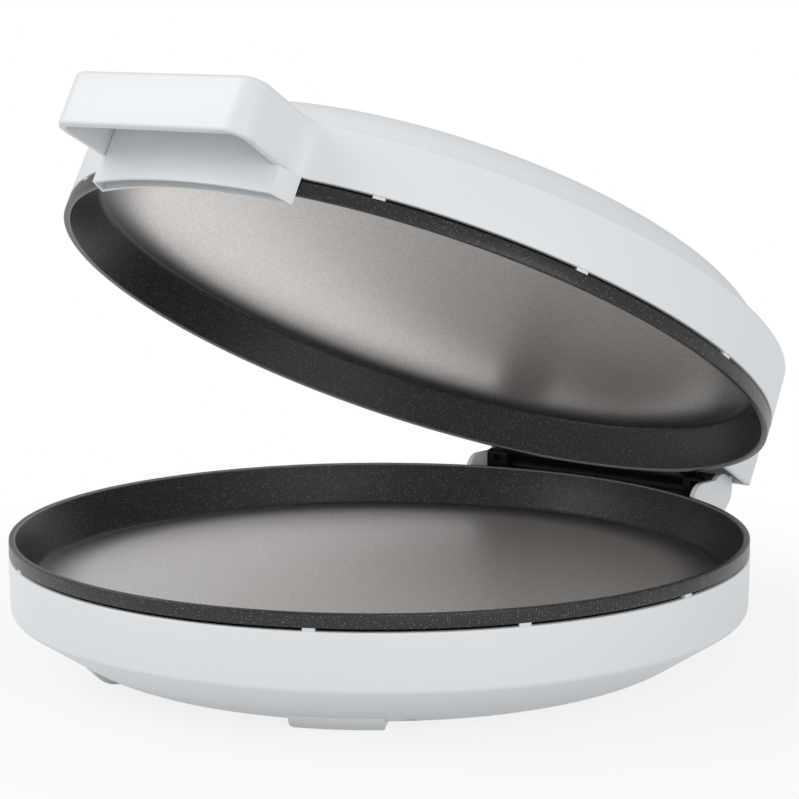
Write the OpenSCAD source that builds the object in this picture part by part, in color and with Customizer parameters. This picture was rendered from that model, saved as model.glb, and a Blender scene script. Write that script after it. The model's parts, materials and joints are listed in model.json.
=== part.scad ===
// Electric pizza maker: two facing non-stick pans, each in its own moulded shell,
// joined by a hinge at the back.  The lid stands part open.
// Origin: on the table, in the middle of the room that the whole part takes up at rest.  -Y is the handle side,
// +Y the hinge side, +Z up.  All sizes in millimetres.

/* [Pans] */
// Outside diameter of the rim of each pan
pan_d = 324; // [300:1:340]
// Width of the flat top of the rim
rim_w = 2.6; // [2:0.1:4]
// Depth from the rim to the cooking face
pan_depth = 19; // [14:0.5:22]
// How far the pan's wall leans in between rim and floor
pan_lean = 7.6; // [4:0.1:12]
// Thickness of the pan's wall below its lip
pan_wall = 2; // [1.5:0.1:2.4]
// Thickness of the pan's floor
pan_floor = 3; // [2:0.1:4]
// Height of the lip that shows outside the shell
lip_h = 5.9; // [4:0.1:8]

/* [Shells] */
// Gap between the pan's lip and the edge of the shell
edge_gap = 1.35; // [0.8:0.05:2]
// How far the shell's edge stands outside the pan's lip
shell_step = 0.2; // [0:0.1:1]
// Wall of the shells
wall = 2.4; // [2:0.1:3]
// Height of the shell's side band
band_h = 24; // [20:0.1:30]
// How far the side band leans in from its edge to its crease
band_lean = 0.5; // [0:0.1:4]
// Depth of the base shell below the rim of its pan
base_depth = 53.8; // [52:0.1:66]
// Height of the lid shell above the rim of its pan
lid_depth = 50.5; // [49:0.1:66]
// Slope of the base's bowl at its crease, in degrees
base_slope = 33; // [30:0.5:38]
// Radius of the curve between the base's bowl and its flat bottom
base_curve = 43; // [30:1:46]
// Slope of the lid's dome at its foot, in degrees
dome_slope = 57; // [50:0.5:60]
// Radius of the curve between the dome's side and its flat top
dome_curve = 30; // [24:1:36]
// Width of the ledge round the dome's foot
dome_ledge = 7.7; // [5:0.1:9]
// Number of lugs that carry a pan's lip on the shell's edge
lug_count = 12; // [6:1:18]
// Width of one lug
lug_w = 5; // [3:0.5:8]

/* [Feet] */
// Height of the feet below the base's bottom
foot_h = 2.5; // [1.5:0.1:5]
// Radius of the circle along the outer bottom edges of the feet
foot_r = 122.5; // [118:0.5:124]
// Width of a foot's sole from its outer to its inner edge
foot_w = 10; // [8:0.5:12]
// Length of one foot
foot_len = 38.5; // [28:0.5:46]
// Angle of the feet from the front and from the back
foot_angle = 32.2; // [25:0.1:45]

/* [Hinge] */
// Opening of the lid at rest, in degrees
lid_open = 28.7; // [0:0.1:80]
// Gap between the two rims when the lid is shut
rim_gap = 0.4; // [0.3:0.1:2]
// Distance of the hinge axis behind the base shell's edge
axis_back = 8.8; // [8.4:0.1:12]
// Depth of the hinge axis below the rim of the base pan
axis_drop = 2; // [1.5:0.1:6]
// Radius of the barrel
barrel_r = 4.5; // [4:0.1:6]
// Half length of the barrel
barrel_half = 52.3; // [45:0.1:54]
// Radius of the hinge pins
pin_r = 2; // [1.6:0.1:2.4]
// Running clearance of the pins in their bores
pin_play = 0.05; // [0.02:0.01:0.1]
// Thickness of the ears on the base shell
ear_t = 2.4; // [2:0.1:4]
// Width of the hinge brackets
bracket_w = 12; // [9:0.1:13]
// Side clearance between the parts along the hinge axis
side_play = 0.35; // [0.2:0.05:0.8]

/* [Handle] */
// Reach of the handle beyond the lid shell's edge
handle_reach = 32.3; // [22:0.1:40]
// Width of the handle at its front
handle_w = 103; // [80:1:120]
// Width of the handle where it meets the shell
neck_w = 99; // [76:1:118]
// Radius of the handle's front corners, seen from above
corner_r = 9; // [5:0.5:14]
// Radius of the hollow between handle and shell, seen from above
neck_r = 10; // [6:0.5:14]
// Wall of the handle
handle_wall = 3.4; // [2.4:0.1:4]
// Depth of the handle shroud, front to back
shroud_t = 8.6; // [7:0.1:10]
// How far the shroud hangs below the rim of the lid's pan
shroud_drop = 4.5; // [3:0.1:5]
// Width of the shroud along its back
shroud_w = 104; // [80:1:110]

/* [Hinge cover] */
// Reach of the cover behind the lid shell's edge
cover_reach = 22.4; // [22.4:0.1:26]
// Width of the cover
cover_w = 151; // [150:1:170]

/* [Heaters] */
// Radius of the ring that the heating elements follow
ring_r = 105; // [95:1:107]
// Radius of the element's tube
tube_r = 3.25; // [2.5:0.05:3.5]
// Distance of the pan's screws outside the element's straps
post_gap = 14.25; // [13:0.25:16]

/* [Hidden] */
$fn = 96;

// Colours
white = [0.9, 0.93, 0.94];
coating = [0.13, 0.13, 0.14];
black = [0.05, 0.05, 0.05];
steel = [0.72, 0.72, 0.7];
tin = [0.85, 0.85, 0.83];
ceramic = [0.93, 0.9, 0.82];

// Pan
pan_r = pan_d / 2;
floor_r = pan_r - rim_w - pan_lean;
floor_under = pan_depth + pan_floor;
back_r = pan_r - rim_w - 0.5;      // outside of the pan's wall just under its lip
edge_soft = 0.6;                   // rounding of the rim's edges

// Shells, as depths from the rim of their own pan
shell_r = pan_r + shell_step;
edge_depth = lip_h + edge_gap;
crease_depth = edge_depth + band_h;
crease_r = shell_r - band_lean;
crease_soft = 1.8;                 // rounding of the crease, along each side
edge_round = 0.8;
steps = 16;                        // points along a bowl's curve
base_form = [base_depth, base_slope, base_curve, crease_r];
lid_form = [lid_depth, dome_slope, dome_curve, crease_r - dome_ledge];
cut = 1;                           // how far a cutting tool runs past the face it cuts
sink = 0.6;                        // how far a moulded-on form reaches into the wall it grows from

// Heights and places, from the middle of the pans
middle_y = 18;                     // the origin is this far behind the middle of the pans
rim_z = base_depth + foot_h;
lid_z = rim_z + rim_gap;
axis_y = shell_r + axis_back;
axis_z = rim_z - axis_drop;

// Heaters
rib_w = 2.5;
rib_h = 3;
tube_seat = 0.1;                   // air between the tube and the pan
tube_depth = floor_under + tube_r + tube_seat;
strap_t = 1.2;
strap_w = 10;
strap_depth = floor_under + 2 * tube_r + 2 * tube_seat;
strap_boss = 3.5;                  // radius of the bosses that carry the straps
strap_half = tube_r + rib_w + strap_boss + 1.5;
strap_angles = [-60, 30, 150, 240];
ring_gap = 16;                     // degrees left open between the element's two ends
element_end = ring_r * [sin(ring_gap / 2), cos(ring_gap / 2)];
stub_len = 12;
tab_len = 6;
post_angles = [45, 135, 225, 315];
post_r = ring_r + strap_half + post_gap;
plate_t = 0.8;
plate_depth = floor_under + 8;     // top of the reflector's flat edge
dish_depth = plate_depth + 7;
post_size = 5;

// Screws
screw_r = 1.5;
head_r = 2.7;
head_h = 2;
screw_play = 0.1;

// Quadratic curve from a to c, pulled towards b
function bend(a, b, c, n = 5) =
    [for (i = [0:n]) let(t = i / n) (1 - t) * (1 - t) * a + 2 * t * (1 - t) * b + t * t * c];

// A bowl's form is [depth, slope, curve radius, radius of its foot].  Radius of the flat middle:
function flat_of(form) =
    form[3] - (form[0] - crease_depth) / tan(form[1]) - form[2] * tan(form[1] / 2);

// Points of the bowl's outline, or of the one parallel to it inside the wall: the curve from the flat middle to
// its end, and a point at radius r_end on the straight side
function bowl(form, inset, r_end) =
    let(c = [flat_of(form), form[2] - form[0]], r = form[2] - inset, t = c + r * [sin(form[1]), -cos(form[1])])
    concat([for (i = [0:steps]) let(a = form[1] * i / steps) c + r * [sin(a), -cos(a)]],
        [[r_end, t[1] + (r_end - t[0]) * tan(form[1])]]);

// Where that straight side reaches a height
function side_r(form, inset, z) = let(p = bowl(form, inset, form[3])) last(p)[0] + (z - last(p)[1]) / tan(form[1]);

// Outer radius of the side band at a depth from the rim
function band_r(depth) = shell_r - band_lean * (depth - edge_depth) / band_h;

// How far back a screw's head at x can sit inside the band
function band_seat(x, depth) = sqrt(pow(band_r(depth) - wall, 2) - pow(abs(x) + head_r, 2)) - 0.1;

function last(list) = list[len(list) - 1];

// Half of the section of a shell, rim plane at zero and the bowl below it
module shell_section(form) {
    ledge = form[3] < crease_r - crease_soft;
    outer = bowl(form, 0, ledge ? form[3] : crease_r - crease_soft);
    crease = [crease_r, -crease_depth];
    top = [shell_r, -edge_depth];
    lean = band_lean / band_h;
    inner_z = -crease_depth + wall;
    inner = bowl(form, wall, ledge ? side_r(form, wall, inner_z) : crease_r - wall);
    polygon(concat([[0, -form[0]]], outer,
        bend(ledge ? crease - [crease_soft, 0] : last(outer), crease, crease + crease_soft * [lean, 1]),
        bend(top - edge_round * [lean, 1], top, top - [edge_round, 0]),
        [[shell_r - wall, -edge_depth]], ledge ? [[crease_r - wall, inner_z]] : [],
        [for (i = [len(inner) - 1:-1:0]) inner[i]],
        [[0, -form[0] + wall]]));
}

// Lugs on the shell's edge, under the pan's lip, with none in front
module lugs() {
    for (i = [1:lug_count - 1])
        rotate([0, 0, 360 * i / lug_count])
            translate([-lug_w / 2, -shell_r + edge_round, -edge_depth - sink])
                cube([lug_w, wall - edge_round, edge_gap + sink]);
}

// The whole part, moved so that the origin is in the middle of its footprint
module stand() { translate([0, -middle_y, 0]) children(); }

// Everything above or below the hinge axis that turns with the lid
module swing() {
    translate([0, axis_y, axis_z]) rotate([-lid_open, 0, 0]) translate([0, -axis_y, -axis_z]) children();
}

// The base pan's rim plane, and the lid pan's, with heights above it
module on_base() { translate([0, 0, rim_z]) children(); }
module on_lid() { swing() translate([0, 0, lid_z]) children(); }
// The lid pan's rim plane turned over, so that what the base has fits the lid too
module under_lid() { on_lid() mirror([0, 0, 1]) children(); }

// A round bar from a to b
module bar(a, b, r) {
    v = b - a;
    translate(a) rotate([0, acos(v[2] / norm(v)), atan2(v[1], v[0])]) cylinder(h = norm(v), r = r, $fn = 16);
}

// A lead along a list of points
module lead(points, r = 1.1) {
    for (i = [1:len(points) - 1]) let(a = points[i - 1], b = points[i], u = (b - a) / norm(b - a))
        bar(i > 1 ? a - 0.5 * u : a, i < len(points) - 1 ? b + 0.4 * u : b, r);
}

// A screw along +Z with its head's top at zero and its shank above
module screw(length) {
    difference() {
        union() {
            cylinder(h = head_h, r = head_r, $fn = 32);
            cylinder(h = head_h + length, r = screw_r, $fn = 24);
        }
        for (a = [0, 90]) rotate([0, 0, a]) translate([-head_r * 0.6, -0.4, -cut]) cube([head_r * 1.2, 0.8, cut + 1.1]);
    }
}

// ---- Pan, shared by base and lid ----
module pan() {
    inner = [pan_r - rim_w, 0];
    rotate_extrude() polygon(concat(
        [[0, -floor_under], [0, -pan_depth]],
        bend([floor_r - 2, -pan_depth], [floor_r, -pan_depth], [floor_r + 0.8, -pan_depth + 2]),
        bend(inner - [0.35, edge_soft * 1.5], inner, inner + [edge_soft, 0], 4),
        bend([pan_r - edge_soft, 0], [pan_r, 0], [pan_r, -edge_soft], 4),
        bend([pan_r, -lip_h + 0.3], [pan_r, -lip_h], [pan_r - 0.3, -lip_h], 2),
        [[back_r, -lip_h]],
        bend([floor_r + pan_wall + 1, -floor_under + 3], [floor_r + pan_wall, -floor_under],
            [floor_r - 2, -floor_under], 4)));
    // ribs beside the element
    for (r = [ring_r - tube_r - rib_w - 1, ring_r + tube_r + 1])
        translate([0, 0, -floor_under - rib_h]) difference() {
            cylinder(h = rib_h + sink, r = r + rib_w);
            translate([0, 0, -cut]) cylinder(h = rib_h + sink + 2 * cut, r = r);
        }
    // bosses for the straps and for the pan's screws
    for (a = strap_angles, s = [-1, 1]) strap_boss(a, s);
}

module strap_boss(a, s) {
    rotate([0, 0, a]) translate([ring_r + s * (tube_r + 1 + rib_w + strap_boss - 1), 0, -strap_depth])
        difference() {
            cylinder(h = strap_depth - floor_under + sink, r = strap_boss, $fn = 32);
            translate([0, 0, -cut]) cylinder(h = strap_depth - floor_under, r = screw_r + screw_play, $fn = 24);
        }
}

module pan_bosses() {
    for (a = post_angles) rotate([0, 0, a]) translate([post_r, 0, -plate_depth]) difference() {
        cylinder(h = plate_depth - floor_under + sink, r = post_size - 0.5, $fn = 48);
        translate([0, 0, -cut]) cylinder(h = plate_depth - floor_under + cut, r = screw_r + screw_play, $fn = 24);
    }
}

// ---- Heating element, shared ----
module element() {
    ends = [ring_gap / 2, 360 - ring_gap / 2];
    rotate([0, 0, 90]) {
        rotate([0, 0, ends[0]]) rotate_extrude(angle = 360 - ring_gap)
            translate([ring_r, -tube_depth]) circle(r = tube_r, $fn = 32);
        for (a = ends) rotate([0, 0, a]) translate([ring_r, 0, -tube_depth]) {
            sphere(r = tube_r, $fn = 32);
            translate([0, 0, -stub_len]) cylinder(h = stub_len, r = tube_r, $fn = 32);
            translate([0, 0, -stub_len - 2]) cylinder(h = 2 + sink, r = tube_r - 0.6, $fn = 32);
            translate([-0.4, -3, -stub_len - tab_len]) cube([0.8, 6, tab_len]);
        }
    }
}

module straps() {
    for (a = strap_angles) rotate([0, 0, a]) difference() {
        translate([ring_r - strap_half - 1, -strap_w / 2, -strap_depth - strap_t]) cube([2 * strap_half + 2, strap_w, strap_t]);
        for (s = [-1, 1]) translate([ring_r + s * (tube_r + 1 + rib_w + strap_boss - 1), 0, -strap_depth - strap_t - cut])
            cylinder(h = strap_t + 2 * cut, r = screw_r + screw_play, $fn = 24);
    }
}

module strap_screws() {
    for (a = strap_angles, s = [-1, 1]) rotate([0, 0, a])
        translate([ring_r + s * (tube_r + 1 + rib_w + strap_boss - 1), 0, -strap_depth - strap_t - head_h])
            screw(strap_t + strap_depth - floor_under - 2);
}

// ---- Reflector, shared: a flat edge with a dished middle that the element's ends pass ----
module reflector(in_base) {
    r1 = ring_r + strap_half + 3;
    r2 = r1 + 4;
    difference() {
        rotate_extrude() polygon([[0, -dish_depth - plate_t], [0, -dish_depth], [r1 - plate_t, -dish_depth],
            [r2 - plate_t, -plate_depth], [post_r + 8, -plate_depth], [post_r + 8, -plate_depth - plate_t],
            [r2, -plate_depth - plate_t], [r1, -dish_depth - plate_t]]);
        for (s = [-1, 1]) rotate([0, 0, 90 + s * ring_gap / 2]) translate([ring_r, 0, -dish_depth - plate_t - cut])
            cylinder(h = plate_t + 2 * cut, r = tube_r + 1.2, $fn = 32);
        if (in_base) {
            for (a = post_angles) rotate([0, 0, a]) translate([post_r, 0, -plate_depth - plate_t - cut])
                cylinder(h = plate_t + 2 * cut, r = screw_r + screw_play, $fn = 24);
            translate([0, thermo_y, -dish_depth - plate_t - cut]) cylinder(h = plate_t + 2 * cut, r = 9);
        }
    }
}

// ---- Base ----
// Outline of an ear, seen from the side: round in front of its top and behind its foot
ear_top = axis_drop + 4.8;         // above the axis
ear_back = 11.8;                   // behind the axis
ear_front = 8;                     // radius of its front top corner
ear_heel = 8.6;                     // radius of its lower back corner
ear_sole = axis_drop - 1.7;        // where that corner starts, from the axis
ear_x = barrel_half + side_play + bracket_w + side_play;

module ear_section() {
    front = -axis_back - 13;
    translate([axis_y, axis_z]) {
        translate([front + ear_front, ear_top - ear_front]) circle(r = ear_front);
        translate([ear_back - ear_heel, ear_sole]) circle(r = ear_heel);
        polygon([[front + ear_front, ear_top], [ear_back, ear_top], [ear_back, ear_sole],
            [ear_back - ear_heel * (1 - cos(45)), ear_sole - ear_heel * sin(45)],
            [ear_back - 20, ear_sole - 20 + ear_heel * (1 - 2 * sin(45))], [-axis_back - 18, axis_drop - crease_depth + 1],
            [-axis_back - 18, axis_drop - edge_depth], [front, axis_drop - edge_depth], [front, ear_top - ear_front]]);
    }
}

module ears() {
    difference() {
        for (s = [-1, 1]) translate([s * (ear_x + ear_t / 2) - ear_t / 2, 0, 0])
            rotate([90, 0, 90]) linear_extrude(ear_t) ear_section();
        // room for the pan's lip above the shell's edge, and for the pan below it
        translate([0, 0, rim_z - edge_depth]) cylinder(h = 3 * edge_depth, r = shell_r + 0.3);
        translate([0, 0, rim_z - crease_depth])
            cylinder(h = band_h, r1 = crease_r - wall / 2, r2 = shell_r - wall / 2);
    }
}

// Feet: moulded pads with a flat sole, a rounded outer flank that runs up the bowl, and rounded ends
foot_flank = 14;                   // radius of the flank
foot_soft = 4;                     // rounding of a foot's ends
module feet() {
    low = -base_depth - foot_h;
    inner = foot_r - foot_w;
    half = foot_len / 2 - foot_soft;
    in_wall = bowl(base_form, wall / 2, crease_r);
    for (m = [0, 1], s = [-1, 1]) mirror([0, m, 0]) rotate([0, 0, -90 + s * foot_angle]) intersection() {
        rotate([0, 0, -15]) rotate_extrude(angle = 30) polygon(concat([[inner + 0.5, low]],
            [for (a = [0:10:70]) [foot_r + foot_flank * sin(a), low + foot_flank * (1 - cos(a))]],
            [for (i = [len(in_wall) - 2:-1:0]) if (in_wall[i][0] > inner + 3) in_wall[i]],
            [[inner, -base_depth + wall / 2], [inner, low + 0.5]]));
        translate([inner - cut, 0, low - 0.3]) rotate([90, 0, 90]) linear_extrude(foot_w + 3 * foot_flank) {
            for (t = [-1, 1]) translate([t * half, foot_soft]) circle(r = foot_soft);
            translate([-half, 0]) square([2 * half, 4 * foot_soft]);
            translate([-half - foot_soft, foot_soft]) square([2 * half + 2 * foot_soft, 3 * foot_soft]);
        }
    }
}

// Hollow posts that carry the pan, with the screw heads sunk from below
module base_posts() {
    for (a = post_angles) rotate([0, 0, a]) translate([post_r, 0, 0])
        translate([0, 0, -base_depth + 1]) cylinder(h = base_depth - 1 - plate_depth - plate_t, r = post_size, $fn = 48);
}

module base_shell() {
    color(white) stand() difference() {
        union() {
            on_base() {
                rotate_extrude() shell_section(base_form);
                lugs();
                feet();
                intersection() {
                    base_posts();
                    rotate_extrude() polygon(concat([[0, 0], [0, -base_depth]],
                        bowl(base_form, 0, crease_r - crease_soft), [[crease_r - crease_soft, 0]]));
                }
            }
            ears();
        }
        on_base() {
            for (a = post_angles) rotate([0, 0, a]) translate([post_r, 0, 0]) {
                translate([0, 0, -base_depth - cut])
                    cylinder(h = base_depth + cut - plate_depth - plate_t - 3, r = head_r + 0.4, $fn = 32);
                translate([0, 0, -base_depth]) cylinder(h = base_depth, r = screw_r + screw_play, $fn = 24);
            }
            bush_at() cylinder(h = 4 * wall, r = bush_r + 0.05, center = true);
            bracket_screw_at() cylinder(h = 6 * wall, r = screw_r + screw_play, center = true, $fn = 24);
        }
    }
}

module base_pan() { color(coating) stand() on_base() { pan(); pan_bosses(); } }
module base_element() { color(steel) stand() on_base() element(); }
module base_element_straps() { color(steel) stand() on_base() straps(); }
module base_reflector() { color(tin) stand() on_base() reflector(true); }

// Disc thermostat under the middle of the base pan
thermo_y = 45;
module thermostat() {
    color(ceramic) stand() on_base() translate([0, thermo_y, -floor_under - 8]) {
        cylinder(h = 8, r = 8);
        translate([-14, -5, 6.4]) cube([28, 10, 1.6]);
        for (s = [-1, 1]) translate([s * 4 - 2.5, -0.4, -9.6]) cube([5, 0.8, 9.6 + sink]);
    }
}

// One-shot fuse in a saddle against a pan's floor
fuse_y = -45;
module fuse() {
    translate([0, fuse_y, -floor_under - 2.6]) {
        rotate([0, 90, 0]) cylinder(h = 14, r = 2.2, center = true, $fn = 32);
        for (s = [-1, 1]) translate([s * 9, 0, 0]) rotate([0, 90, 0]) cylinder(h = 6, r = 0.6, center = true, $fn = 16);
    }
    difference() {
        translate([-4, fuse_y - 7, -floor_under - 5.6]) cube([8, 14, 5.6]);
        translate([-4 - cut, fuse_y, -floor_under - 2.6]) rotate([0, 90, 0]) cylinder(h = 8 + 2 * cut, r = 2.25, $fn = 32);
    }
}
module thermal_fuse() { color(steel) stand() on_base() fuse(); }

// Screw terminals on the floor of the base shell
block_at = [30, ring_r - 21];
block_size = [36, 16, base_depth - wall - dish_depth - plate_t - 1.6];
module terminal_block() {
    color(ceramic) stand() on_base() translate([block_at[0] - block_size[0] / 2, block_at[1] - block_size[1] / 2, -base_depth + wall])
        difference() {
            cube(block_size);
            for (i = [0:2], y = [4, block_size[1] - 4]) translate([6 + 12 * i, y, block_size[2] - 4])
                cylinder(h = 5, r = 2.4, $fn = 24);
            for (i = [0:1]) translate([11 + 12 * i, -cut, block_size[2] - 6]) cube([2, block_size[1] + 2 * cut, 7]);
        }
}

// Insulated leads: from the bush to the block, and from there to element and thermostat
module base_leads() {
    low = -base_depth + wall + 3;
    tie = block_at[1] + block_size[1] / 2;
    end_low = -tube_depth - stub_len - tab_len - 2;
    thermo_low = -floor_under - 8 - 9.6 - 1.6;
    color(black) stand() on_base() {
        for (i = [0:1]) lead([[-2 + 4 * i, bush_in - 3, -bush_depth],
            [-2 + 4 * i, bush_in - 6, -bush_depth - 8], [-2 + 4 * i, bush_in - 11, -bush_depth - 14],
            [block_at[0] - 12 + 24 * i, tie + 10, low + 2], [block_at[0] - 12 + 24 * i, tie + 0.3, low]]);
        lead([[element_end[0], element_end[1], end_low], [element_end[0] + 8, element_end[1] - 4, low + 1],
            [block_at[0], tie + 0.8, low]]);
        lead([[-element_end[0], element_end[1], end_low], [-element_end[0] - 6, element_end[1] - 8, low + 1],
            [-8, tie - block_size[1], low + 1], [-4, thermo_y + 1, thermo_low]]);
        lead([[block_at[0] - 12, tie - block_size[1] - 0.3, low], [block_at[0] - 12, tie - block_size[1] - 6, low],
            [4, thermo_y + 1, thermo_low]]);
    }
}

// Bush that the mains lead would come in by, through the back of the base
bush_r = 6;
bush_bore = 3.7;
bush_depth = 22;
bush_out = shell_r + 2.6;
bush_in = shell_r - 6;
module bush_at() { translate([0, shell_r - band_lean / 2 - wall / 2, -bush_depth]) rotate([90, 0, 0]) children(); }
module cord_bush() {
    color(black) stand() on_base() difference() {
        union() {
            translate([0, bush_out - 1, -bush_depth]) rotate([90, 0, 0]) cylinder(h = bush_out - 1 - bush_in, r = bush_r);
            translate([0, bush_out, -bush_depth]) rotate([90, 0, 0]) cylinder(h = bush_out - shell_r - 0.1, r = bush_r + 2.5);
        }
        translate([0, bush_out + cut, -bush_depth]) rotate([90, 0, 0])
            cylinder(h = bush_out - bush_in + 2 * cut, r = bush_bore);
    }
}

// Brackets inside the ears: a knuckle on a leg that stands on the shell's band
knuckle = 8;
knuckle_soft = 2.5;
leg_depth = 29;
bracket_screw_z = -20;
module bracket_screw_at() {
    for (s = [-1, 1]) translate([s * (barrel_half + side_play + bracket_w / 2), shell_r - 10, bracket_screw_z])
        rotate([90, 0, 0]) children();
}
module bracket(s) {
    x0 = barrel_half + side_play;
    mirror([s < 0 ? 1 : 0, 0, 0]) difference() {
        translate([x0, 0, 0]) rotate([90, 0, 90]) linear_extrude(bracket_w) translate([axis_y, axis_z]) {
            k = knuckle;
            q = knuckle - knuckle_soft;
            polygon(concat(bend([q, k], [k, k], [k, q]), bend([k, -q], [k, -k], [q, -k]),
                [[-axis_back - 8, axis_drop - leg_depth], [-axis_back - 14, axis_drop - leg_depth],
                [-axis_back - 14, axis_drop - edge_depth - 1], [-k, axis_drop - edge_depth - 1]],
                bend([-k, q], [-k, k], [-q, k])));
        }
        cylinder(h = 2 * rim_z, r = shell_r + 0.1);
        translate([x0 - cut, axis_y, axis_z]) rotate([0, 90, 0]) cylinder(h = bracket_w + 2 * cut, r = pin_r + pin_play);
        // square window in the front of the knuckle
        translate([x0 + bracket_w / 2 - 2.2, axis_y - knuckle - cut, axis_z + 2.9]) cube([4.4, 3 + cut, 3.2]);
        translate([x0 + bracket_w / 2, axis_y, rim_z + bracket_screw_z]) rotate([90, 0, 0])
            cylinder(h = 2 * axis_back + 20, r = screw_r + screw_play, $fn = 24);
    }
}
module hinge_bracket_left() { color(black) stand() bracket(-1); }
module hinge_bracket_right() { color(black) stand() bracket(1); }

pin_in = barrel_half - 9;
pin_out = ear_x - side_play - 0.5;
module hinge_pins() {
    color(steel) stand() for (s = [-1, 1]) translate([s * (pin_in + pin_out) / 2, axis_y, axis_z]) rotate([0, 90, 0])
        cylinder(h = pin_out - pin_in, r = pin_r, center = true);
}

module base_screws() {
    color(steel) stand() on_base() {
        strap_screws();
        for (a = post_angles) rotate([0, 0, a])
            translate([post_r, 0, -plate_depth - plate_t - 3 - head_h]) screw(3 + plate_t + plate_depth - floor_under - 1.5);
        for (s = [-1, 1]) let(x = barrel_half + side_play + bracket_w / 2)
            translate([s * x, band_seat(x, -bracket_screw_z) - head_h, bracket_screw_z]) rotate([-90, 0, 0]) screw(10);
    }
}

// ---- Lid ----
soft_top = 2.2;                    // rounding of the top edges of handle and cover
soft_foot = 1.2;                   // rounding of the handle's lower edge
handle_y = shell_r + handle_reach;
top_h = crease_depth - 0.2;        // height of the flat tops of handle and cover
neck_bite = 0.5;                   // how far the neck's hollow bites into the band

// Points of an arc round c from angle a to angle b
function arc(c, r, a, b, n) = [for (i = [0:n]) c + r * [cos(a + (b - a) * i / n), sin(a + (b - a) * i / n)]];

// Right half of the handle's outline from above, from the middle of its front to inside the band.
// f_r is where the hollow at its neck is centred, back where the outline ends, short the part of the hollow left off.
function handle_half(inset, f_r, back, short) =
    let(c = [handle_w / 2 - corner_r, -handle_y + corner_r],
        fx = neck_w / 2 + neck_r, fy = sqrt(f_r * f_r - fx * fx), f = [fx, -fy],
        d = f - c, a = atan2(d[1], d[0]) - acos((corner_r + neck_r) / norm(d)), e = atan2(fy, -fx) + short)
    concat(arc(c, corner_r - inset, -90, a, 8), arc(f, neck_r + inset, a + 180, e, 10),
        [f * back / f_r - [inset, 0]]);
function mirrored(half) = concat(half, [for (i = [len(half) - 1:-1:0]) [-half[i][0], half[i][1]]]);
function handle_outside(inset, height) =
    mirrored(handle_half(inset, band_r(height) + neck_r + inset - neck_bite, crease_r - 9, 0));
function handle_inside() =
    mirrored(handle_half(handle_wall, shell_r + neck_r - neck_bite, crease_r - 6, 15));

// Insets and heights of the layers that round a block's top and lower edges
function soft_layers(low, high, foot, top) = concat(
    [for (i = [0:3]) let(a = 30 * i) [foot * (1 - sin(a)), low + foot * (1 - cos(a))]],
    [for (i = [3:-1:0]) let(a = 30 * i) [top * (1 - sin(a)), high - top * (1 - cos(a))]]);

// A solid through equal rings of points, each ring at its own height, lowest first
module loft(rings, heights) {
    n = len(rings[0]);
    m = len(rings);
    polyhedron([for (k = [0:m - 1], p = rings[k]) [p[0], p[1], heights[k]]], concat(
        [[for (i = [0:n - 1]) i]],
        [for (k = [0:m - 2], i = [0:n - 1], t = [0, 1]) let(j = (i + 1) % n, q = k * n)
            t == 0 ? [q + i, q + i + n, q + j + n] : [q + i, q + j + n, q + j]],
        [[for (i = [n - 1:-1:0]) (m - 1) * n + i]]));
}

// The handle as a cup that is open below
module handle_cup(roof) {
    layers = soft_layers(edge_depth, top_h, soft_foot, soft_top);
    inside = handle_inside();
    loft(concat([inside, inside], [for (l = layers) handle_outside(l[0], l[1])]),
        concat([roof, edge_depth], [for (l = layers) l[1]]));
}

// Outline of the hinge cover from above
cover_corner = 3;
module cover_plan(inset) {
    for (s = [-1, 1]) translate([s * (cover_w / 2 - cover_corner), shell_r + cover_reach - cover_corner])
        circle(r = cover_corner - inset, $fn = 32);
    translate([-cover_w / 2 + inset, shell_r - 30]) square([cover_w - 2 * inset, 20]);
}

module cover_block() {
    hull() for (layer = soft_layers(edge_depth, top_h, 0.4, soft_top))
        translate([0, 0, layer[1]]) linear_extrude(0.01) cover_plan(layer[0]);
}

lens_x = 9;
lens_y = handle_y - 10;
lens_r = 3.2;
module lens_at(s) { translate([s * lens_x, -lens_y, top_h]) children(); }

module lid_shell() {
    roof = top_h - wall;
    color(white) stand() on_lid() difference() {
        union() {
        mirror([0, 0, 1]) {
            rotate_extrude() shell_section(lid_form);
            lugs();
        }
        // handle and cover grow out of the band and are open below
        difference() {
            union() {
                handle_cup(roof);
                difference() {
                    cover_block();
                    translate([-cover_w / 2 + wall, shell_r - 40, edge_depth - cut])
                        cube([cover_w - 2 * wall, 40 + cover_reach - wall, roof - edge_depth + cut]);
                }
            }
            translate([0, 0, edge_depth - cut]) cylinder(h = top_h, r = crease_r - wall / 2);
        }
        }
        for (s = [-1, 1]) lens_at(s) cylinder(h = 4 * wall, r = lens_r + 0.05, center = true, $fn = 32);
        shroud_screw_at() cylinder(h = 7.4, r = screw_r + screw_play, $fn = 24);
        arm_screw_at() cylinder(h = 12, r = screw_r + screw_play, $fn = 24);
    }
}

// Shroud under the handle: a hollow arc, open below, that covers the two lips in front
shroud_in = shell_r + 0.5;
shroud_out = shroud_in + shroud_t;
shroud_wall = 1.4;
module shroud_wedge(inset) {
    back = shroud_w / 2 - inset;
    y1 = sqrt(shroud_in * shroud_in - shroud_w * shroud_w / 4);
    slant = 0.33;
    polygon([[-back - 5 * slant, -y1 + 5], [back + 5 * slant, -y1 + 5],
        [back - 20 * slant, -y1 - 20], [-back + 20 * slant, -y1 - 20]]);
}
module shroud_arc(r_in, r_out, low, high) {
    translate([0, 0, low]) linear_extrude(high - low) intersection() {
        difference() { circle(r = r_out, $fn = 180); circle(r = r_in, $fn = 180); }
        children();
    }
}
module shroud_screw_at() {
    for (s = [-1, 1]) translate([s * 30, -sqrt(pow(shroud_in + shroud_t / 2, 2) - 900), top_h - wall - 6]) children();
}
shroud_half = neck_w / 2 - handle_wall - 0.4;    // half width of the part inside the handle
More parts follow.
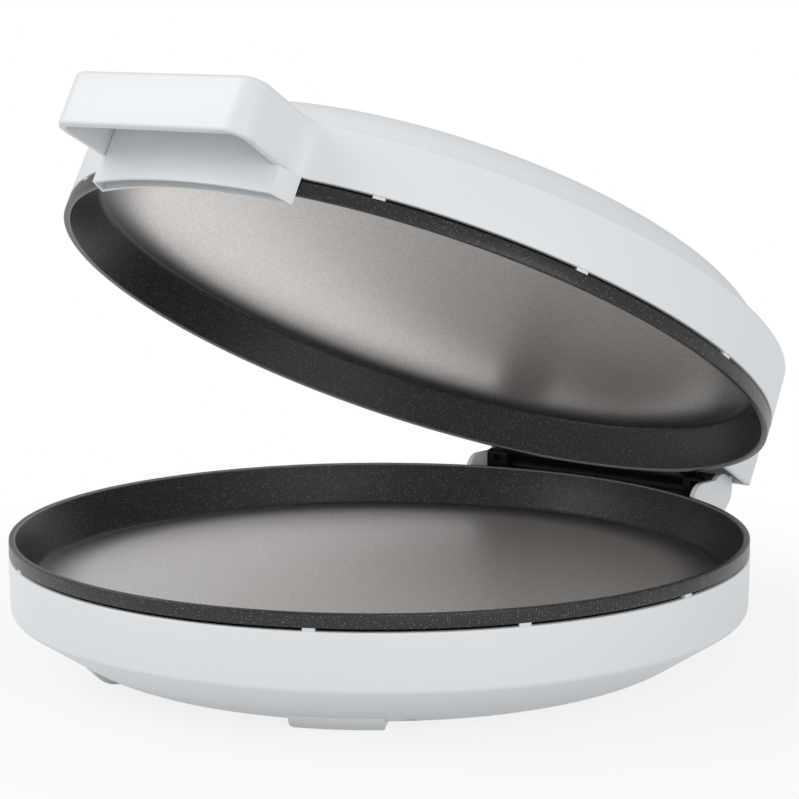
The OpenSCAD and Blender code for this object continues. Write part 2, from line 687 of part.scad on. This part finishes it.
module shroud_form(t) {
    high = top_h - wall - 0.05 - t;
    shroud_arc(shroud_in + t, shroud_out - t, -shroud_drop - (t > 0 ? cut : 0), edge_depth - 0.05 - t)
        shroud_wedge(t);
    shroud_arc(shroud_in + t, shroud_out - t, 0, high)
        translate([-shroud_half + t, -shroud_out - cut]) square([2 * shroud_half - 2 * t, shroud_out]);
}
module handle_shroud() {
    color(white) stand() on_lid() difference() {
        shroud_form(0);
        shroud_form(shroud_wall);
        shroud_screw_at() cylinder(h = 10, r = screw_r + screw_play, $fn = 24);
    }
}

module lid_pan() { color(coating) stand() under_lid() pan(); }
module lid_element() { color(steel) stand() under_lid() element(); }
module lid_element_straps() { color(steel) stand() under_lid() straps(); }

// Spring clips that hold the lid's pan to its shell, bent round the pan's wall
clip_w = 12;
module lid_pan_clips() {
    color(steel) stand() under_lid() for (a = post_angles) rotate([0, 0, a]) translate([0, -clip_w / 2, 0])
        rotate([90, 0, 0]) mirror([0, 0, 1]) linear_extrude(clip_w) polygon([
            [shell_r - wall - 0.4, -edge_depth - 1], [band_r(floor_under) - wall - 0.4, -floor_under - 0.9],
            [floor_r - 2, -floor_under - 0.9], [floor_r - 2, -floor_under - 0.1],
            [band_r(floor_under) - wall - 1, -floor_under - 0.1], [shell_r - wall - 1, -edge_depth - 1]]);
}

module lid_reflector() { color(tin) stand() under_lid() reflector(false); }
module lid_fuse() { color(steel) stand() under_lid() fuse(); }
module lid_leads() {
    color(black) stand() under_lid() for (s = [-1, 1])
        let(ex = s * element_end[0], ey = element_end[1], low = -lid_depth + wall + 3.1,
            out_z = -plate_depth - plate_t - 3, out_y = side_r(lid_form, wall, out_z) - 1.5)
        lead([[ex, ey, -tube_depth - stub_len - tab_len - 2], [ex, ey + 12, low],
            [s * 4, out_y - 11, out_z], [s * 4, out_y, out_z]]);
}

// Hinge arms: half of the barrel each, with a web that is screwed to the back of the lid shell
arm_gap = 0.5;
web_back = 1;                      // the web's back, in front of the axis
collar_w = 1.6;                    // width of the collar at the barrel's end
arm_screw_z = 21;
arm_screws = [14, 38];
module arm_screw_at() {
    for (s = [-1, 1], x = arm_screws)
        translate([s * x, band_seat(x, arm_screw_z) - head_h, arm_screw_z]) rotate([-90, 0, 0]) children();
}
module arm(s) {
    mirror([s < 0 ? 1 : 0, 0, 0]) difference() {
        union() {
            translate([arm_gap, axis_y, axis_z]) rotate([0, 90, 0]) cylinder(h = barrel_half - arm_gap, r = barrel_r);
            translate([barrel_half - collar_w, axis_y, axis_z]) rotate([0, 90, 0])
                cylinder(h = collar_w, r = barrel_r + 0.5);
            difference() {
                translate([arm_gap, shell_r - 14, axis_z]) cube([barrel_half - arm_gap, axis_back + 14 - web_back, lid_z + 27 - axis_z]);
                translate([0, 0, lid_z + edge_depth - 0.4])
                    cylinder(h = band_h, r1 = shell_r + 0.25, r2 = crease_r + 0.25);
                translate([0, 0, -cut]) cylinder(h = lid_z + edge_depth - 0.3 + cut, r = shell_r + 1.2);
                translate([-cut, shell_r - 20, -cut]) cube([2 * barrel_half, 20 + axis_back - barrel_r + 1, rim_z + 1.2 + cut]);
            }
        }
        translate([barrel_half - 9.4, axis_y, axis_z]) rotate([0, 90, 0]) cylinder(h = 12, r = pin_r + pin_play);
        for (x = arm_screws) translate([x, shell_r - 20, lid_z + arm_screw_z]) rotate([-90, 0, 0])
            cylinder(h = 40, r = screw_r + screw_play, $fn = 24);
    }
}
module hinge_arm_left() { color(black) stand() swing() arm(-1); }
module hinge_arm_right() { color(black) stand() swing() arm(1); }

module lens() {
    translate([0, 0, -wall - 1.2]) cylinder(h = 1.2, r = lens_r + 1, $fn = 32);
    translate([0, 0, -wall - 0.6]) cylinder(h = wall + 1, r = lens_r, $fn = 32);
    intersection() {
        translate([0, 0, -4.2]) sphere(r = 5.6, $fn = 48);
        cylinder(h = 3, r = lens_r, $fn = 32);
    }
}
module power_lens() { color([0.8, 0.1, 0.08]) stand() on_lid() lens_at(-1) lens(); }
module ready_lens() { color([0.1, 0.6, 0.2]) stand() on_lid() lens_at(1) lens(); }
module indicator_lamps() {
    color(ceramic) stand() on_lid() for (s = [-1, 1]) lens_at(s) translate([0, 0, -wall - 1.4 - 8]) cylinder(h = 8, r = 2.4, $fn = 32);
}

module lid_screws() {
    color(steel) stand() {
        under_lid() strap_screws();
        on_lid() shroud_screw_at() translate([0, 0, 6 - shroud_wall - 0.1 - head_h]) screw(shroud_wall + 1.3);
        on_lid() arm_screw_at() screw(6);
    }
}

base_shell();
base_pan();
base_element();
base_element_straps();
base_reflector();
thermostat();
thermal_fuse();
terminal_block();
base_leads();
cord_bush();
hinge_bracket_left();
hinge_bracket_right();
hinge_pins();
base_screws();
lid_shell();
handle_shroud();
lid_pan();
lid_pan_clips();
lid_element();
lid_element_straps();
lid_reflector();
lid_fuse();
lid_leads();
hinge_arm_left();
hinge_arm_right();
power_lens();
ready_lens();
indicator_lamps();
lid_screws();
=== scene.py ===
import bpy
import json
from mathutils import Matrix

bl_info = {
    "name": "Pizza maker finishes",
    "version": (1, 0, 0),
    "blender": (4, 5, 0),
    "location": "View3D > Sidebar > Pizza maker",
    "description": "Finishes an electric pizza maker with procedural materials and sets it on a studio stage",
    "category": "Object",
}

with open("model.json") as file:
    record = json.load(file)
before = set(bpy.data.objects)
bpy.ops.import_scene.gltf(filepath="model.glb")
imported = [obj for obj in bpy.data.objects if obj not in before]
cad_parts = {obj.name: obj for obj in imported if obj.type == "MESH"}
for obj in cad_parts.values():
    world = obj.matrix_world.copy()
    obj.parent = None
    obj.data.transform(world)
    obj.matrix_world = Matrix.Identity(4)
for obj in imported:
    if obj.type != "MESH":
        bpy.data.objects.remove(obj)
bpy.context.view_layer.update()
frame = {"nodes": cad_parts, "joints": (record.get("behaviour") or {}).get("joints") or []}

import json
import math

import bpy
from bpy.props import FloatProperty, FloatVectorProperty, PointerProperty
from mathutils import Matrix, Vector

JOINT = frame["joints"][0]
HINGE = Vector(JOINT["pos_m"])
LID_OPEN = -math.radians(JOINT["range_deg"][0])
PANS_Y = -0.018              # middle of the pans, in front of the origin
BASE_RIM = 0.0563            # height of the base pan's rim
LID_RIM = 0.0567             # height of the lid pan's rim with the lid shut
RIM_R = 0.162                # radius of the pans' rims
COOKING_R = 0.1518           # radius of the cooking face
FACE_DEPTHS = (0.0170, 0.0186)                           # the cooking face starts between these depths
FACE_FADE = (COOKING_R - 0.0022, COOKING_R - 0.0004)     # its light coating ends between these radii
WALL_SHADE_FADE = (COOKING_R - 0.026, COOKING_R - 0.002)       # and painted shade, for the dark wall's reflection, darkens it between these
WALL_SHADE_SHARE = 0.25            # share of the light coating that is left under the painted shade at the corner
# a pale line along the rim's inner edge is a painted highlight, in the colour and sizes below
RIM_GLINT_R = RIM_R - 0.0026      # radius of the painted highlight line at the rim's inner edge
RIM_GLINT_HALF = 0.0006           # half the width of that line
RIM_GLINT_DEPTH = 0.0012          # how far down from the rim's top it reaches
RIM_GLINT_SHARE = 0.6             # how strongly the painted highlight shows over the coating
RIM_GLINT_COLOUR = (0.42, 0.42, 0.41)
GENTLE_ANGLE = math.radians(34)     # edges flatter than this are shaded smooth
MERGE_DISTANCE = 2e-6               # loose vertices nearer than this are joined
NOISE_MIDDLE = (0.3, 0.7)           # most values of a noise lie between these
CAMERA_PLACE = (0.71610, -0.88007, 0.28842)
CAMERA_AZIMUTH = math.radians(39.269)
CAMERA_ELEVATION = math.radians(8.868)
CAMERA_CLIP = (0.05, 60)
SENSOR_WIDTH = 36
LIGHTS_AIM = (0, 0, 0.1)
KEY_PLACE, KEY_SIZE = (-0.9, -0.9, 1.1), (1.0, 1.0)
FILL_PLACE, FILL_SIZE = (1.2, -0.7, 0.45), (1.2, 0.7)
FLOOR_FADE = (0.16, 0.42)           # the floor's own shading fades between these distances
FLOOR_GLOW = (0.84, 1.0)            # share of plain white near the part and far from it
ROOM_TINT = (0.97, 0.985, 1.0, 1)
WHITE = (1, 1, 1, 1)


# ---- sizes and colours that a user would change ----

def tint(name, about, colour):
    return FloatVectorProperty(name=name, description=about, subtype="COLOR", size=3, min=0, max=1,
                               default=colour)


def part_of_one(name, about, value):
    return FloatProperty(name=name, description=about, subtype="FACTOR", min=0, max=1, default=value)


def distance(name, about, low, high, value, precision=4):
    return FloatProperty(name=name, description=about, subtype="DISTANCE", unit="LENGTH", min=low,
                         max=high, default=value, precision=precision)


def power(name, about, value):
    return FloatProperty(name=name, description=about, subtype="POWER", unit="POWER", min=0, max=200,
                         default=value)


class ShellSettings(bpy.types.PropertyGroup):
    colour: tint("Plastic colour", "Colour of the moulded shells", (0.815, 0.836, 0.850))
    roughness: part_of_one("Roughness", "How satin the shells are", 0.36)
    grain: distance("Mould grain", "Size of the fine grain that the mould leaves", 0.0001, 0.01, 0.0007)


class CoatingSettings(bpy.types.PropertyGroup):
    colour: tint("Coating colour", "Colour of the non-stick coating", (0.011, 0.0108, 0.0105))
    face_colour: tint("Cooking face colour", "Colour of the coating on the cooking face",
                      (0.860, 0.822, 0.796))
    fleck_colour: tint("Fleck colour", "Colour of the fine flecks in the coating", (0.34, 0.34, 0.335))
    face_sheen: part_of_one("Cooking face sheen", "How metallic the coating looks on the cooking face", 0.8)
    fleck_size: distance("Fleck spacing", "Distance between neighbouring flecks", 0.0003, 0.01, 0.00055,
                         precision=5)
    roughness: part_of_one("Roughness", "How matt the coating is", 0.33)


class HingeSettings(bpy.types.PropertyGroup):
    colour: tint("Hinge colour", "Colour of the hinge's black plastic", (0.006, 0.006, 0.0065))
    roughness: part_of_one("Roughness", "How matt the hinge is", 0.45)


class StageSettings(bpy.types.PropertyGroup):
    floor_colour: tint("Floor colour", "Colour of the floor", (0.70, 0.735, 0.76))
    floor_size: distance("Floor size", "Side of the square floor", 2, 40, 16)
    key_power: power("Key light", "Power of the large soft light at the handle's side", 8.5)
    fill_power: power("Fill light", "Power of the low soft light at the other side", 5)
    sky: FloatProperty(name="Room light", description="Strength of the even light from all round",
                       min=0, max=4, default=0.62)
    lens: FloatProperty(name="Focal length", description="Focal length of the camera in millimetres",
                        min=20, max=300, default=116.755)


class PizzaMakerSettings(bpy.types.PropertyGroup):
    shell: PointerProperty(type=ShellSettings)
    coating: PointerProperty(type=CoatingSettings)
    hinge: PointerProperty(type=HingeSettings)
    stage: PointerProperty(type=StageSettings)


# ---- helpers ----

def settings():
    return bpy.context.scene.pizza_maker


class Nodes:
    """A node tree that is written as a list of steps."""

    def __init__(self, tree):
        self.tree = tree

    def add(self, kind, **values):
        node = self.tree.nodes.new(kind)
        for key, value in values.items():
            setattr(node, key, value)
        return node

    def join(self, source, target):
        self.tree.links.new(source, target)

    def put(self, value, socket):
        """Joins an output to a socket, or sets a plain value on it."""
        if isinstance(value, bpy.types.NodeSocket):
            self.join(value, socket)
        else:
            socket.default_value = value

    def spread(self, value, low, high, to_low=0.0, to_high=1.0):
        node = self.add("ShaderNodeMapRange", interpolation_type="SMOOTHSTEP")
        ends = {"From Min": low, "From Max": high, "To Min": to_low, "To Max": to_high}
        for socket, number in ends.items():
            node.inputs[socket].default_value = number
        self.join(value, node.inputs["Value"])
        return node.outputs["Result"]

    def math(self, operation, first, second=None):
        node = self.add("ShaderNodeMath", operation=operation)
        self.put(first, node.inputs[0])
        if second is not None:
            self.put(second, node.inputs[1])
        return node.outputs[0]

    def close(self, kind, share, first, second):
        """Ends the tree with a mix of two shaders."""
        mix = self.add("ShaderNodeMixShader")
        for socket, source in zip(mix.inputs, (share, first.outputs[0], second.outputs[0])):
            self.join(source, socket)
        self.join(mix.outputs[0], self.add(kind).inputs["Surface"])


class Recipe(Nodes):
    """A material around one principled shader, with patterns on object coordinates."""

    def __init__(self, name):
        self.material = bpy.data.materials.new(name)
        self.material.use_nodes = True
        super().__init__(self.material.node_tree)
        self.shader = self.tree.nodes["Principled BSDF"]
        self.place = self.add("ShaderNodeTexCoord").outputs["Object"]

    def noise(self, size, detail=2.0, roughness=0.5, stretch=None):
        """Noise whose lumps are about size across, stretched along an axis if asked."""
        node = self.add("ShaderNodeTexNoise")
        node.inputs["Scale"].default_value = 1 / size
        node.inputs["Detail"].default_value = detail
        node.inputs["Roughness"].default_value = roughness
        vector = self.place
        if stretch:
            mapping = self.add("ShaderNodeMapping")
            mapping.inputs["Scale"].default_value = stretch
            self.join(self.place, mapping.inputs["Vector"])
            vector = mapping.outputs["Vector"]
        self.join(vector, node.inputs["Vector"])
        return node.outputs["Fac"]

    def cells(self, size):
        node = self.add("ShaderNodeTexVoronoi", feature="F1")
        node.inputs["Scale"].default_value = 1 / size
        self.join(self.place, node.inputs["Vector"])
        return node

    def blend(self, share, first, second):
        """Colour between first and second, each a colour or an output."""
        node = self.add("ShaderNodeMix", data_type="RGBA")
        self.join(share, node.inputs[0])
        for socket, value in ((node.inputs[6], first), (node.inputs[7], second)):
            self.put(value if isinstance(value, bpy.types.NodeSocket) else (*value, 1), socket)
        return node.outputs[2]

    def colour(self, output):
        self.join(output, self.shader.inputs["Base Color"])

    def rough(self, pattern, smooth, matt, middle=NOISE_MIDDLE):
        """Roughness that follows a pattern, from smooth to matt."""
        self.join(self.spread(pattern, *middle, smooth, matt), self.shader.inputs["Roughness"])

    def metallic(self, output):
        self.join(output, self.shader.inputs["Metallic"])

    def bump(self, height, distance, strength):
        node = self.add("ShaderNodeBump")
        node.inputs["Distance"].default_value = distance
        node.inputs["Strength"].default_value = strength
        self.join(height, node.inputs["Height"])
        self.join(node.outputs["Normal"], self.shader.inputs["Normal"])

    def fix(self, **values):
        for key, value in values.items():
            self.shader.inputs[key.replace("_", " ")].default_value = value


def shade(colour, factor):
    return tuple(min(1.0, c * factor) for c in colour)


def give(material, *names):
    """Puts a material in every slot of the named nodes."""
    for name in names:
        piece = frame["nodes"].get(name)
        if piece is None:
            raise RuntimeError("no piece named " + name)
        if not piece.material_slots:
            piece.data.materials.append(None)
        for slot in piece.material_slots:
            slot.link = "OBJECT"
            slot.material = material


def smooth_group():
    """Geometry nodes that join a node's loose faces and shade its gentle edges smooth."""
    group = bpy.data.node_groups.get("Gentle edges")
    if group:
        return group
    group = bpy.data.node_groups.new("Gentle edges", "GeometryNodeTree")
    group.interface.new_socket("Geometry", in_out="INPUT", socket_type="NodeSocketGeometry")
    group.interface.new_socket("Geometry", in_out="OUTPUT", socket_type="NodeSocketGeometry")
    new = group.nodes.new
    start, end = new("NodeGroupInput"), new("NodeGroupOutput")
    merge = new("GeometryNodeMergeByDistance")
    merge.inputs["Distance"].default_value = MERGE_DISTANCE
    clear = new("GeometryNodeRemoveAttribute")
    clear.inputs["Name"].default_value = "custom_normal"
    faces = new("GeometryNodeSetShadeSmooth")
    faces.domain = "FACE"
    edges = new("GeometryNodeSetShadeSmooth")
    edges.domain = "EDGE"
    angle = new("GeometryNodeInputMeshEdgeAngle")
    gentle = new("FunctionNodeCompare")
    gentle.data_type, gentle.operation = "FLOAT", "LESS_THAN"
    gentle.inputs[1].default_value = GENTLE_ANGLE
    link = group.links.new
    link(start.outputs[0], merge.inputs["Geometry"])
    link(merge.outputs["Geometry"], clear.inputs["Geometry"])
    link(clear.outputs["Geometry"], faces.inputs["Geometry"])
    link(faces.outputs["Geometry"], edges.inputs["Geometry"])
    link(angle.outputs["Unsigned Angle"], gentle.inputs[0])
    link(gentle.outputs["Result"], edges.inputs["Shade Smooth"])
    link(edges.outputs["Geometry"], end.inputs[0])
    return group


def smooth(*names):
    for name in names:
        modifier = frame["nodes"][name].modifiers.new("Gentle edges", "NODES")
        modifier.node_group = smooth_group()


# ---- materials ----

def moulded_white():
    s = settings().shell
    r = Recipe("Moulded white plastic")
    cloud = r.noise(size=0.09)
    r.colour(r.blend(cloud, shade(s.colour, 0.985), shade(s.colour, 1.01)))
    grain = r.noise(s.grain, detail=3.0, roughness=0.6)
    r.rough(grain, s.roughness - 0.03, s.roughness + 0.04)
    r.bump(grain, distance=0.00003, strength=0.35)
    return r.material


def from_axis(r, tilted):
    """Distance from the middle line of a pan, and height from its rim plane towards the shell."""
    mapping = r.add("ShaderNodeMapping", vector_type="TEXTURE")
    if tilted:
        turn = Matrix.Translation(HINGE) @ Matrix.Rotation(-LID_OPEN, 4, "X") @ Matrix.Translation(-HINGE)
        place = turn @ Vector((0, PANS_Y, LID_RIM))
        mapping.inputs["Rotation"].default_value = (-LID_OPEN, 0, 0)
    else:
        place = Vector((0, PANS_Y, BASE_RIM))
    mapping.inputs["Location"].default_value = place
    r.join(r.place, mapping.inputs["Vector"])
    apart = r.add("ShaderNodeSeparateXYZ")
    r.join(mapping.outputs["Vector"], apart.inputs[0])
    squares = [r.math("POWER", apart.outputs[axis], 2.0) for axis in "XY"]
    return r.math("SQRT", r.math("ADD", *squares)), apart.outputs["Z"]


def non_stick(name, tilted):
    """Satin coating: dark and flecked on rim and wall, a lighter warm grey on the cooking face."""
    s = settings().coating
    r = Recipe(name)
    radius, height = from_axis(r, tilted)
    depth = r.math("ABSOLUTE", height)
    # flecks: small bright dots, at most one to a cell, of many sizes
    cell = r.cells(s.fleck_size)
    chance = r.add("ShaderNodeSeparateColor")
    r.join(cell.outputs["Color"], chance.inputs[0])
    fleck_r = r.spread(chance.outputs[0], 0.35, 1.0, 0.0, 0.32)
    fleck = r.math("LESS_THAN", cell.outputs["Distance"], fleck_r)
    bright = r.blend(chance.outputs[1], shade(s.fleck_colour, 0.2), s.fleck_colour)
    cloud = r.noise(size=0.03, detail=3.0)
    body = r.blend(cloud, shade(s.colour, 0.9), shade(s.colour, 1.15))
    # the cooking face is a lighter grey that ends at the corner of its floor, with a fine pale mottle
    inside = r.spread(radius, *FACE_FADE, 1.0, 0.0)
    facing = r.math("MULTIPLY", inside, r.spread(depth, *FACE_DEPTHS))
    mottle = r.spread(r.noise(size=0.0011, detail=3.0, roughness=0.65), 0.35, 0.65)
    face = r.blend(mottle, shade(s.face_colour, 0.88), shade(s.face_colour, 1.12))
    # it stays bright in the middle, and painted shade for the dark wall's reflection darkens it towards its
    # corner
    face = r.blend(r.spread(radius, *WALL_SHADE_FADE, 1.0, WALL_SHADE_SHARE), s.colour, face)
    # a pale line along the rim's inner edge is a painted highlight
    off_line = r.math("ABSOLUTE", r.math("SUBTRACT", radius, RIM_GLINT_R))
    edge = r.spread(off_line, 0.0, RIM_GLINT_HALF, 1.0, 0.0)
    rim_glint = r.math("MULTIPLY", edge, r.spread(depth, 0.0, RIM_GLINT_DEPTH, 1.0, 0.0))
    coat = r.blend(facing, r.blend(fleck, body, bright), face)
    r.colour(r.blend(r.math("MULTIPLY", rim_glint, RIM_GLINT_SHARE), coat, RIM_GLINT_COLOUR))
    fine = r.noise(size=0.0006, roughness=0.6)
    r.rough(fine, s.roughness - 0.05, s.roughness + 0.06)
    r.bump(fine, distance=0.00005, strength=0.5)
    r.metallic(r.math("MULTIPLY", facing, s.face_sheen))
    return r.material


def black_plastic():
    s = settings().hinge
    r = Recipe("Black hinge plastic")
    cloud = r.noise(size=0.012)
    r.colour(r.blend(cloud, shade(s.colour, 0.8), shade(s.colour, 1.5)))
    grain = r.noise(size=0.0005)
    r.rough(grain, s.roughness - 0.06, s.roughness + 0.08)
    r.bump(grain, distance=0.00003, strength=0.5)
    r.fix(Specular_IOR_Level=0.2)
    return r.material


def metal(name, colour, roughness, size, stretch=None):
    """Metal with fine lines or grain of the size given, and a faint cloud in its colour."""
    r = Recipe(name)
    line = r.noise(size, detail=3.0, roughness=0.6, stretch=stretch)
    cloud = r.noise(size=0.02)
    r.colour(r.blend(cloud, shade(colour, 0.86), shade(colour, 1.06)))
    r.rough(line, roughness - 0.06, roughness + 0.10, middle=(0.25, 0.75))
    r.bump(line, distance=0.00001, strength=0.6)
    r.fix(Metallic=1.0)
    return r.material


def rubber():
    r = Recipe("Black lead insulation")
    cloud = r.noise(size=0.004)
    r.colour(r.blend(cloud, (0.010, 0.010, 0.011), (0.020, 0.020, 0.021)))
    r.rough(r.noise(size=0.0008), smooth=0.5, matt=0.62)
    return r.material


def ceramic():
    r = Recipe("Cream ceramic")
    speck = r.noise(size=0.0012, detail=4.0, roughness=0.7)
    r.colour(r.blend(speck, (0.70, 0.62, 0.50), (0.82, 0.76, 0.66)))
    r.rough(speck, smooth=0.5, matt=0.66)
    r.bump(speck, distance=0.00004, strength=0.4)
    return r.material


def lens(name, colour):
    r = Recipe(name)
    swirl = r.noise(size=0.002)
    r.colour(r.blend(swirl, shade(colour, 0.75), shade(colour, 1.1)))
    r.rough(swirl, smooth=0.08, matt=0.14)
    r.fix(Coat_Weight=0.4, Coat_Roughness=0.05)
    return r.material


# ---- operators ----

class PIZZAMAKER_OT_shells(bpy.types.Operator):
    """Finish the base shell, the lid shell and the handle shroud in moulded white plastic"""
    bl_idname = "pizza_maker.shells"
    bl_label = "Shells"

    def execute(self, context):
        give(moulded_white(), "base_shell", "lid_shell", "handle_shroud")
        smooth("base_shell", "lid_shell", "handle_shroud")
        return {"FINISHED"}


class PIZZAMAKER_OT_pans(bpy.types.Operator):
    """Finish the two pans in flecked non-stick coating"""
    bl_idname = "pizza_maker.pans"
    bl_label = "Pans"

    def execute(self, context):
        give(non_stick("Non-stick coating, base", False), "base_pan")
        give(non_stick("Non-stick coating, lid", True), "lid_pan")
        smooth("base_pan", "lid_pan")
        return {"FINISHED"}


class PIZZAMAKER_OT_hinge(bpy.types.Operator):
    """Finish the hinge in black plastic, and its pins, the screws and the fuses in plated steel"""
    bl_idname = "pizza_maker.hinge"
    bl_label = "Hinge"

    def execute(self, context):
        give(black_plastic(), "hinge_arm_left", "hinge_arm_right", "hinge_bracket_left",
             "hinge_bracket_right")
        give(metal("Plated steel", (0.62, 0.62, 0.60), roughness=0.24, size=0.0006), "hinge_pins",
             "base_screws", "lid_screws", "thermal_fuse", "lid_fuse")
        return {"FINISHED"}


class PIZZAMAKER_OT_heaters(bpy.types.Operator):
    """Finish the heating elements, their straps, the clips and the reflectors"""
    bl_idname = "pizza_maker.heaters"
    bl_label = "Heaters and reflectors"

    def execute(self, context):
        give(metal("Heat-stained sheath", (0.36, 0.33, 0.29), roughness=0.42, size=0.0008),
             "base_element", "lid_element")
        give(metal("Drawn steel strip", (0.52, 0.52, 0.50), roughness=0.34, size=0.0006,
                   stretch=(1, 12, 1)), "base_element_straps", "lid_element_straps", "lid_pan_clips")
        give(metal("Bright tinned sheet", (0.78, 0.78, 0.76), roughness=0.20, size=0.0009,
                   stretch=(1, 14, 1)), "base_reflector", "lid_reflector")
        return {"FINISHED"}


class PIZZAMAKER_OT_electrics(bpy.types.Operator):
    """Finish the thermostat, the terminal block, the lamps, the leads and the bush"""
    bl_idname = "pizza_maker.electrics"
    bl_label = "Electrics"

    def execute(self, context):
        give(ceramic(), "thermostat", "terminal_block", "indicator_lamps")
        give(rubber(), "base_leads", "lid_leads", "cord_bush")
        return {"FINISHED"}


class PIZZAMAKER_OT_lenses(bpy.types.Operator):
    """Finish the red and green indicator lenses on the handle"""
    bl_idname = "pizza_maker.lenses"
    bl_label = "Indicator lenses"

    def execute(self, context):
        give(lens("Red lens", (0.55, 0.02, 0.015)), "power_lens")
        give(lens("Green lens", (0.02, 0.38, 0.09)), "ready_lens")
        return {"FINISHED"}


def area_light(name, place, size, power):
    lamp = bpy.data.lights.new(name, "AREA")
    lamp.shape = "RECTANGLE"
    lamp.size, lamp.size_y = size
    lamp.energy = power
    holder = bpy.data.objects.new(name, lamp)
    bpy.context.scene.collection.objects.link(holder)
    holder.location = place
    aim = Vector(LIGHTS_AIM) - Vector(place)
    holder.rotation_euler = aim.to_track_quat("-Z", "Y").to_euler()


def bare_nodes(owner):
    """The empty node tree of a new material or world."""
    owner.use_nodes = True
    owner.node_tree.nodes.clear()
    return Nodes(owner.node_tree)


def floor_material():
    """Matt floor that the camera sees as white, with the part's shadow left near the part."""
    material = bpy.data.materials.new("Pale floor")
    n = bare_nodes(material)
    matt, glow = n.add("ShaderNodeBsdfDiffuse"), n.add("ShaderNodeEmission")
    matt.inputs["Color"].default_value = (*settings().stage.floor_colour, 1)
    away = n.add("ShaderNodeVectorMath", operation="LENGTH")
    n.join(n.add("ShaderNodeTexCoord").outputs["Object"], away.inputs[0])
    far = n.spread(away.outputs["Value"], *FLOOR_FADE, *FLOOR_GLOW)
    path = n.add("ShaderNodeLightPath").outputs
    seen = n.math("MAXIMUM", path["Is Camera Ray"], path["Is Glossy Ray"])
    n.close("ShaderNodeOutputMaterial", n.math("MULTIPLY", seen, far), matt, glow)
    return material


def white_room():
    """World with an even soft light, which the camera sees as plain white."""
    world = bpy.data.worlds.new("White room")
    n = bare_nodes(world)
    room, seen = n.add("ShaderNodeBackground"), n.add("ShaderNodeBackground")
    room.inputs["Color"].default_value = ROOM_TINT
    room.inputs["Strength"].default_value = settings().stage.sky
    seen.inputs["Color"].default_value = WHITE
    path = n.add("ShaderNodeLightPath").outputs
    share = n.math("MAXIMUM", path["Is Camera Ray"], path["Is Transmission Ray"])
    n.close("ShaderNodeOutputWorld", share, room, seen)
    return world


def make_camera(scene, focal_length):
    camera = bpy.data.cameras.new("Camera")
    camera.lens = focal_length
    camera.sensor_width = SENSOR_WIDTH
    camera.clip_start, camera.clip_end = CAMERA_CLIP
    holder = bpy.data.objects.new("Camera", camera)
    scene.collection.objects.link(holder)
    holder.location = CAMERA_PLACE
    holder.rotation_euler = (math.pi / 2 - CAMERA_ELEVATION, 0, CAMERA_AZIMUTH)
    scene.camera = holder


class PIZZAMAKER_OT_stage(bpy.types.Operator):
    """Make the pale floor, the soft studio light and the camera"""
    bl_idname = "pizza_maker.stage"
    bl_label = "Stage"

    def execute(self, context):
        s = settings().stage
        bpy.ops.object.select_all(action="DESELECT")
        bpy.ops.mesh.primitive_plane_add(size=s.floor_size, location=(0, 0, 0))
        floor = context.object
        floor.name = "Floor"
        floor.data.materials.append(floor_material())
        context.scene.world = white_room()
        area_light("Key light", KEY_PLACE, KEY_SIZE, s.key_power)
        area_light("Fill light", FILL_PLACE, FILL_SIZE, s.fill_power)
        make_camera(context.scene, s.lens)
        context.scene.view_settings.view_transform = "Standard"
        return {"FINISHED"}


class PIZZAMAKER_PT_panel(bpy.types.Panel):
    """Lists the finishes and the stage of the pizza maker"""
    bl_idname = "PIZZAMAKER_PT_panel"
    bl_label = "Pizza maker"
    bl_space_type = "VIEW_3D"
    bl_region_type = "UI"
    bl_category = "Pizza maker"

    def draw(self, context):
        s = context.scene.pizza_maker
        for operator, group in ((PIZZAMAKER_OT_shells, s.shell), (PIZZAMAKER_OT_pans, s.coating),
                                (PIZZAMAKER_OT_hinge, s.hinge), (PIZZAMAKER_OT_heaters, None),
                                (PIZZAMAKER_OT_electrics, None), (PIZZAMAKER_OT_lenses, None),
                                (PIZZAMAKER_OT_stage, s.stage)):
            box = self.layout.box()
            box.operator(operator.bl_idname)
            if group:
                for name in group.__annotations__:
                    box.prop(group, name)


CLASSES = (ShellSettings, CoatingSettings, HingeSettings, StageSettings, PizzaMakerSettings,
           PIZZAMAKER_OT_shells, PIZZAMAKER_OT_pans, PIZZAMAKER_OT_hinge, PIZZAMAKER_OT_heaters,
           PIZZAMAKER_OT_electrics, PIZZAMAKER_OT_lenses, PIZZAMAKER_OT_stage, PIZZAMAKER_PT_panel)


def register():
    for cls in CLASSES:
        bpy.utils.register_class(cls)
    bpy.types.Scene.pizza_maker = PointerProperty(type=PizzaMakerSettings)


def unregister():
    del bpy.types.Scene.pizza_maker
    for cls in reversed(CLASSES):
        bpy.utils.unregister_class(cls)


def main():
    register()
    bpy.ops.pizza_maker.shells()
    bpy.ops.pizza_maker.pans()
    bpy.ops.pizza_maker.hinge()
    bpy.ops.pizza_maker.heaters()
    bpy.ops.pizza_maker.electrics()
    bpy.ops.pizza_maker.lenses()
    bpy.ops.pizza_maker.stage()


if __name__ == "__main__":
    main()
